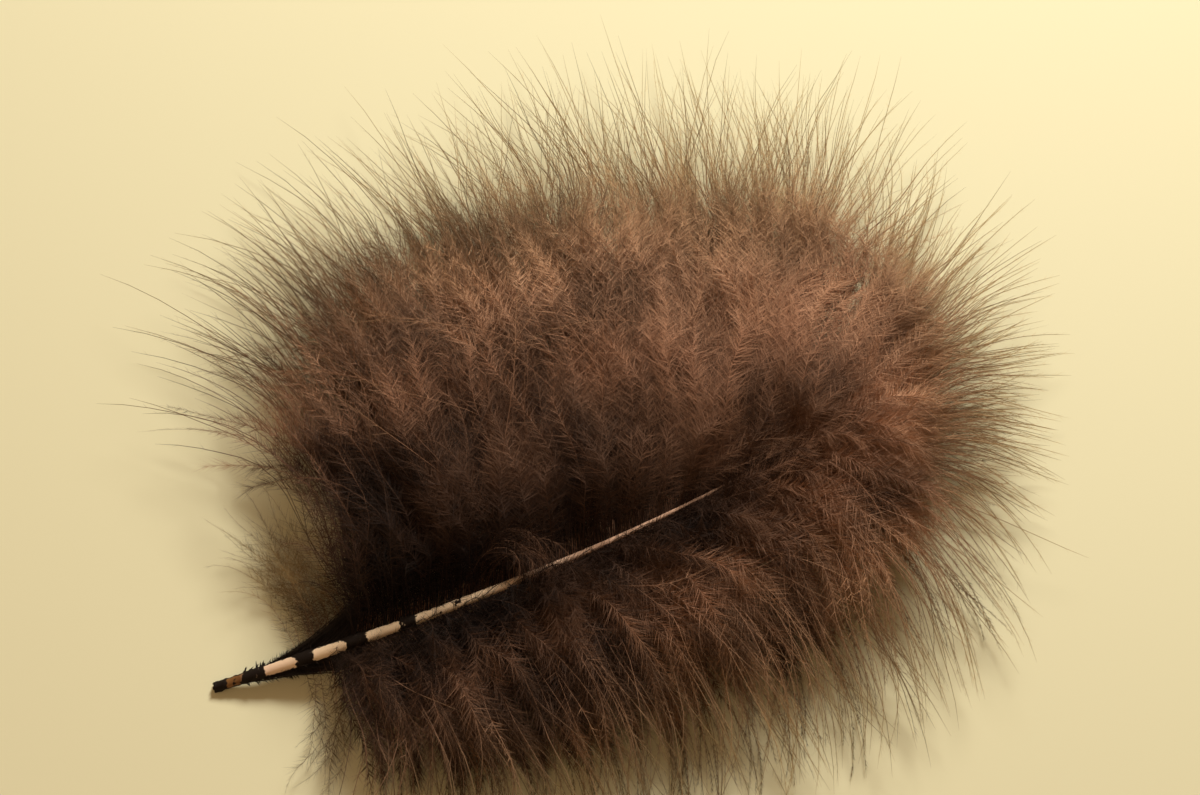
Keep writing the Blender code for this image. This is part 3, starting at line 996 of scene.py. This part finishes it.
# %% [markdown]
# ## The comb of barb bases
# Where the down parts beside the quill, the bases of its barbs show as a fine comb: they leave the quill
# at even steps, a third of a millimetre apart. These short stems stand in even rows on both sides.

# %% Barb bases
COMB_STEP = 0.00032
COMB_ENDS = (0.24, 0.84)
COMB_LENGTH = 0.0042
COMB_LENGTH_SHARES = (0.8, 1.2)
# For each side: the root angle and the tip angle, in degrees
COMB_ANGLES = {LEFT: (66, 74), RIGHT: (-62, -74)}
COMB_ROOT_DEPTH = 0.85
COMB_ARCH = 0.0006
COMB_DROP = 0.0002
COMB_STEM = (0.000060, 0.000035)
COMB_STATIONS = 6
COMB_CHART_REACH = 0.3
COMB_CHART_START = 0.24
COMB_TONES = (0.30, 0.70)


def comb_lines(side, seed):
    """Short even bends at even steps along the quill, all alike but for a little chance."""
    chance = np.random.default_rng(seed)
    count = int((COMB_ENDS[1] - COMB_ENDS[0]) * SHAFT_LENGTH / COMB_STEP)
    u = np.linspace(*COMB_ENDS, count)
    root = beside_quill(u, QUARTER_TURN[side], COMB_ROOT_DEPTH)
    first, last = COMB_ANGLES[side]
    strands = {
        "u": u, "root": root,
        "root_angle": np.radians(first + chance.normal(0, ROOT_ANGLE_SPREAD, count)),
        "tip_angle": np.radians(last + chance.normal(0, TIP_ANGLE_SPREAD, count)),
        "length": COMB_LENGTH * chance.uniform(*COMB_LENGTH_SHARES, count),
        "arch": np.full(count, COMB_ARCH),
        "tip_height": root[:, 2] - COMB_DROP + chance.normal(0, COMB_DROP, count),
    }
    line, _ = bent_lines(strands, even_shares(COMB_STATIONS))
    return line, {
        "reach": np.full(count, COMB_CHART_REACH),
        "start": np.full(count, COMB_CHART_START),
        "tone": chance.uniform(*COMB_TONES, count),
    }


comb_parts = []
for side in (LEFT, RIGHT):
    line, facts = comb_lines(side, 440 + side)
    comb_parts.append(stems(line, facts, COMB_STEM))
pieces.append(mesh_piece("barb_bases", comb_parts, brown_down))

# %% [markdown]
# ## The quill
# The quill is a horn tube: cream, with dark bands where the sheath of the growing feather is left, amber
# and rough where it was pulled out. A cylinder bent along a curve would be too even. This surface is a
# circle carried along the quill's line, swollen a little under the sheath, ragged and hollow at the cut.

# %% Quill surface
QUILL_STATIONS = 330
QUILL_SIDES = 24
# Stations crowd towards the cut end by this power
QUILL_CROWDING = 1.25
HORN_PROUD = 1.10
HORN_UNEVEN = 0.012
# The dark sheath: places along the quill, and how much of the horn it covers there
SHEATH = ((0.0, 1.0), (0.016, 1.0), (0.024, 0.30), (0.048, 0.34), (0.053, 1.0), (0.082, 1.0), (0.092, 0.0),
          (0.130, 0.0), (0.141, 1.0), (0.162, 1.0), (0.172, 0.0), (0.214, 0.0), (0.225, 1.0), (0.248, 1.0),
          (0.258, 0.30), (0.266, 0.0), (0.304, 0.0), (0.314, 1.0), (0.331, 1.0), (0.340, 0.0), (0.371, 0.05),
          (0.377, 0.55), (0.382, 0.05), (0.400, 0.05), (0.405, 0.66), (0.411, 0.58), (0.416, 0.05),
          (1.0, 0.0))
SHEATH_SWELL = 0.22
SHEATH_EVEN = 0.6
SHEATH_UNEVEN = 0.7
CUT_LENGTH = 0.018
CUT_UNEVEN = 0.20
CUT_JAG = 0.00022
TORN_LENGTH = 0.028
TORN_DEPTH = 0.16
HOLLOW_SHARE = 0.55
HOLLOW_DEPTH = 0.0008
END_LENGTH = 0.0003
QUILL_FLOOR = 0.00002
RIPPLE_TURNS = (20, 140)
# The quill's places in its chart: the middle of the hollow, its rim, then the horn from here on
PIT_CHART = (0.0, 0.006)
HORN_CHART_START = 0.012
HORN_CHART_SHARE = 0.98
sheath_places, sheath_values = np.array(SHEATH).T


def ripple(angle, u, waves, seed):
    """Smooth noise on a tube: a sum of sines whose turns round the tube are whole, so it closes."""
    chance = np.random.default_rng(seed)
    total = 0.0
    for round_turns in range(1, waves + 1):
        along_turns = chance.uniform(*RIPPLE_TURNS)
        phase = chance.uniform(0, 6.3)
        total = total + np.sin(round_turns * angle + along_turns * u * 2 * np.pi + phase) / waves
    return total


def quill_radius(u, angle, cut):
    """The horn's radius, times a swelling under the sheath, times small and ragged ripples."""
    swell = SHEATH_SWELL * np.interp(u, sheath_places, sheath_values)
    ragged = SHEATH_EVEN + SHEATH_UNEVEN * ripple(angle, u, 7, 3)
    radius = HORN_PROUD * shaft_radius(u) * (1 + swell * ragged)
    at_cut = CUT_UNEVEN * cut * ripple(angle, 0 * u, 5, 4)
    radius = radius * (1 + at_cut + HORN_UNEVEN * ripple(angle, u, 9, 5))
    torn = smooth(2 - u / TORN_LENGTH)
    return radius * (1 + TORN_DEPTH * torn * ripple(angle, u, 6, 8))


def quill_surface():
    """p(u) + r(u, a) (cos a * sideways + sin a * up), with a closed tip and a hollow, ragged cut end."""
    u = np.linspace(0.0, 1.0, QUILL_STATIONS)[:, None] ** QUILL_CROWDING
    angle = 2 * np.pi * np.arange(QUILL_SIDES + 1)[None, :] / QUILL_SIDES - 0.5 * np.pi
    cut = np.clip(1 - u / CUT_LENGTH, 0, 1)
    along, sideways = flat_way(heading(u)), left_way(heading(u))
    ring = np.cos(angle)[..., None] * sideways + np.sin(angle)[..., None] * np.array([0.0, 0.0, 1.0])
    points = shaft_point(u) + quill_radius(u, angle, cut)[..., None] * ring
    points = points + (CUT_JAG * cut ** 3 * ripple(angle, 0 * u, 6, 6))[..., None] * along
    inner = shaft_point(0.0) + HOLLOW_SHARE * (points[:1] - shaft_point(0.0)) + HOLLOW_DEPTH * along[:1]
    pit = np.broadcast_to(inner.mean(axis=1, keepdims=True), inner.shape)
    end = np.broadcast_to(shaft_point(1.0) + END_LENGTH * along[-1:], inner.shape)
    points = np.concatenate([pit, inner, points, end])
    rows = len(points)
    across = np.broadcast_to(np.linspace(0.0, 1.0, QUILL_SIDES + 1), (rows, QUILL_SIDES + 1))
    up = np.concatenate([PIT_CHART, HORN_CHART_START + HORN_CHART_SHARE * u[:, 0], [1.0]])
    up = up[:, None] + 0 * across
    station, corner = np.meshgrid(np.arange(rows - 1), np.arange(QUILL_SIDES), indexing="ij")
    near = station * (QUILL_SIDES + 1) + corner
    far = near + QUILL_SIDES + 1
    faces = split_quads(near, far, far + 1, near + 1)
    chart = np.stack([across, up], -1).reshape(-1, 2)
    points = points.reshape(-1, 3)
    points[:, 2] = np.maximum(points[:, 2], QUILL_FLOOR)
    return points, faces, chart[faces].reshape(-1, 2)


# %% [markdown]
# ## Horn and sheath
# Horn is smooth and a little shiny, and the sheath on it is dull and flakes off in ragged bands. Separate
# pieces of sheath would be far too thin to model. Instead a mask runs along the quill from the same table
# that swells the surface, noise frays its edges, and it picks the colour and the roughness together.

# %% Helpers for the quill's material
def math_node(nodes, links, operation, first, second):
    """One sum on two values, each of them a number or another node's output."""
    node = nodes.new("ShaderNodeMath")
    node.operation = operation
    for socket, value in zip(node.inputs, (first, second)):
        if isinstance(value, float):
            socket.default_value = value
        else:
            links.new(value, socket)
    return node.outputs["Value"]


def map_range(nodes, links, value, source, target, kind="LINEAR"):
    """The value moved from one range to another, and held at its ends."""
    node = nodes.new("ShaderNodeMapRange")
    node.interpolation_type = kind
    set_inputs(node, dict(zip(("From Min", "From Max", "To Min", "To Max"), (*source, *target))))
    links.new(value, node.inputs["Value"])
    return node.outputs["Result"]


# %% Quill material
HORN_RAMP = ((0.0, (0.045, 0.030, 0.022)), (0.022, (0.060, 0.034, 0.020)), (0.032, (0.240, 0.115, 0.038)),
             (0.055, (0.170, 0.074, 0.026)), (0.085, (0.860, 0.590, 0.420)), (0.20, (0.960, 0.730, 0.510)),
             (0.33, (0.960, 0.740, 0.520)), (0.47, (0.940, 0.690, 0.470)), (0.52, (0.760, 0.500, 0.350)),
             (0.66, (0.680, 0.420, 0.290)), (1.0, (0.360, 0.190, 0.115)))
BLACK_SHEATH = (0.0120, 0.0066, 0.0042, 1.0)
UNIT_RANGE = (0.0, 1.0)
GRAIN_SCALE = 1500.0
GRAIN_DETAIL = 4.0
GRAIN_WOBBLE = 0.010
GRAIN_FRAY = 2.4
# The pale windows lie on top: the sheath closes in beside them, by less past the banded part
WINDOW_MIDDLE = 0.55
WINDOW_HALF = (0.13, 0.21)
BANDED_TO = (0.32, 0.40)
BESIDE_WINDOW = (0.75, 0.12)
MASK_EDGE = (0.42, 0.58)
HORN_TO_SHEATH_ROUGHNESS = (0.34, 0.72)
BUMP_STRENGTH = 0.35
BUMP_DEPTH = 0.00005
HORN_SPECULAR = 0.14


def sheath_mask(nodes, links, split, along, grain):
    """1 where the sheath covers the horn: the band table, plus the sides of the windows, plus noise."""
    stops = [(HORN_CHART_START + HORN_CHART_SHARE * at, (value,) * 3) for at, value in SHEATH]
    bands = color_ramp(nodes, stops)
    links.new(along, bands.inputs["Fac"])
    aside = math_node(nodes, links, "SUBTRACT", split.outputs["X"], WINDOW_MIDDLE)
    aside = math_node(nodes, links, "ABSOLUTE", aside, 0.0)
    beside = map_range(nodes, links, aside, WINDOW_HALF, UNIT_RANGE, "SMOOTHSTEP")
    banded = map_range(nodes, links, split.outputs["Y"], BANDED_TO, BESIDE_WINDOW)
    edges = math_node(nodes, links, "MULTIPLY", beside, banded)
    fray = math_node(nodes, links, "MULTIPLY", grain, GRAIN_FRAY)
    cover = math_node(nodes, links, "ADD", bands.outputs["Color"], edges)
    cover = math_node(nodes, links, "ADD", cover, fray)
    return map_range(nodes, links, cover, MASK_EDGE, UNIT_RANGE)


def quill_horn():
    """Cream horn under a black sheath, with fine grain in the bump and in the sheath's edges."""
    material, nodes, links, shader = new_material("banded_quill")
    split = chart_place(nodes, links)
    where = nodes.new("ShaderNodeTexCoord")
    noise = nodes.new("ShaderNodeTexNoise")
    set_inputs(noise, {"Scale": GRAIN_SCALE, "Detail": GRAIN_DETAIL})
    links.new(where.outputs["Object"], noise.inputs["Vector"])
    grain = math_node(nodes, links, "SUBTRACT", noise.outputs["Fac"], 0.5)
    wobble = math_node(nodes, links, "MULTIPLY", grain, GRAIN_WOBBLE)
    along = math_node(nodes, links, "ADD", split.outputs["Y"], wobble)
    horn = color_ramp(nodes, HORN_RAMP)
    links.new(along, horn.inputs["Fac"])
    mask = sheath_mask(nodes, links, split, along, grain)
    horn_input, sheath_input, color = color_mix(nodes, links, mask)
    links.new(horn.outputs["Color"], horn_input)
    sheath_input.default_value = BLACK_SHEATH
    links.new(color, shader.inputs["Base Color"])
    roughness = map_range(nodes, links, mask, UNIT_RANGE, HORN_TO_SHEATH_ROUGHNESS)
    links.new(roughness, shader.inputs["Roughness"])
    bump = nodes.new("ShaderNodeBump")
    set_inputs(bump, {"Strength": BUMP_STRENGTH, "Distance": BUMP_DEPTH})
    links.new(noise.outputs["Fac"], bump.inputs["Height"])
    links.new(bump.outputs["Normal"], shader.inputs["Normal"])
    shader.inputs["Specular IOR Level"].default_value = HORN_SPECULAR
    return material


quill = mesh_piece("quill", [quill_surface()], quill_horn())

# %% [markdown]
# ## One feather
# A feather has no moving parts, so every piece rides on the one body. The measured solid is hidden, and the
# quill and the down, which has taken the place of its plain locks, are drawn in its stead.

# %% Ride and replace
print("triangles in all:", sum(len(piece.data.polygons) for piece in pieces + [quill]))
for piece in pieces + [quill]:
    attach(piece, "root")
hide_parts("feather")

# %% [markdown]
# ## The surface and the light
# The surface is plain, pale and warm. A small key light at the upper right gives the short shadow beside
# the quill, and a wide warm fill and a dim warm room keep the dark down from going black.

# %% Floor
FLOOR_SIZE = 2.0
FLOOR_COLOR = (0.80, 0.74, 0.49, 1)
FLOOR_ROUGHNESS = 0.7

bpy.ops.mesh.primitive_plane_add(size=FLOOR_SIZE, location=(0, 0, 0))
floor = bpy.context.object
floor.name = "floor"
floor_material, _, _, floor_shader = new_material("pale_surface")
set_inputs(floor_shader, {"Base Color": FLOOR_COLOR, "Roughness": FLOOR_ROUGHNESS})
floor.data.materials.append(floor_material)

# %% Lights
ROOM_COLOR = (1.0, 0.68, 0.42, 1.0)
ROOM_STRENGTH = 0.18


def area_light(name, location, size, power, color):
    """A round light that faces the middle of the feather."""
    data = bpy.data.lights.new(name, "AREA")
    data.shape = "DISK"
    data.size = size
    data.energy = power
    data.color = color
    light = bpy.data.objects.new(name, data)
    light.location = location
    light.rotation_euler = Vector(location).to_track_quat("Z", "Y").to_euler()
    bpy.context.scene.collection.objects.link(light)
    print(name, "light:", power, "W")


area_light("key", location=(0.24, 0.36, 0.42), size=0.20, power=4.05, color=(1.0, 0.985, 0.895))
area_light("fill", location=(-0.30, -0.25, 0.55), size=0.50, power=0.62, color=(1.0, 0.68, 0.36))
world = bpy.data.worlds.new("room")
world.use_nodes = True
set_inputs(world.node_tree.nodes["Background"], {"Color": ROOM_COLOR, "Strength": ROOM_STRENGTH})
bpy.context.scene.world = world
bpy.context.scene.view_settings.view_transform = "Standard"
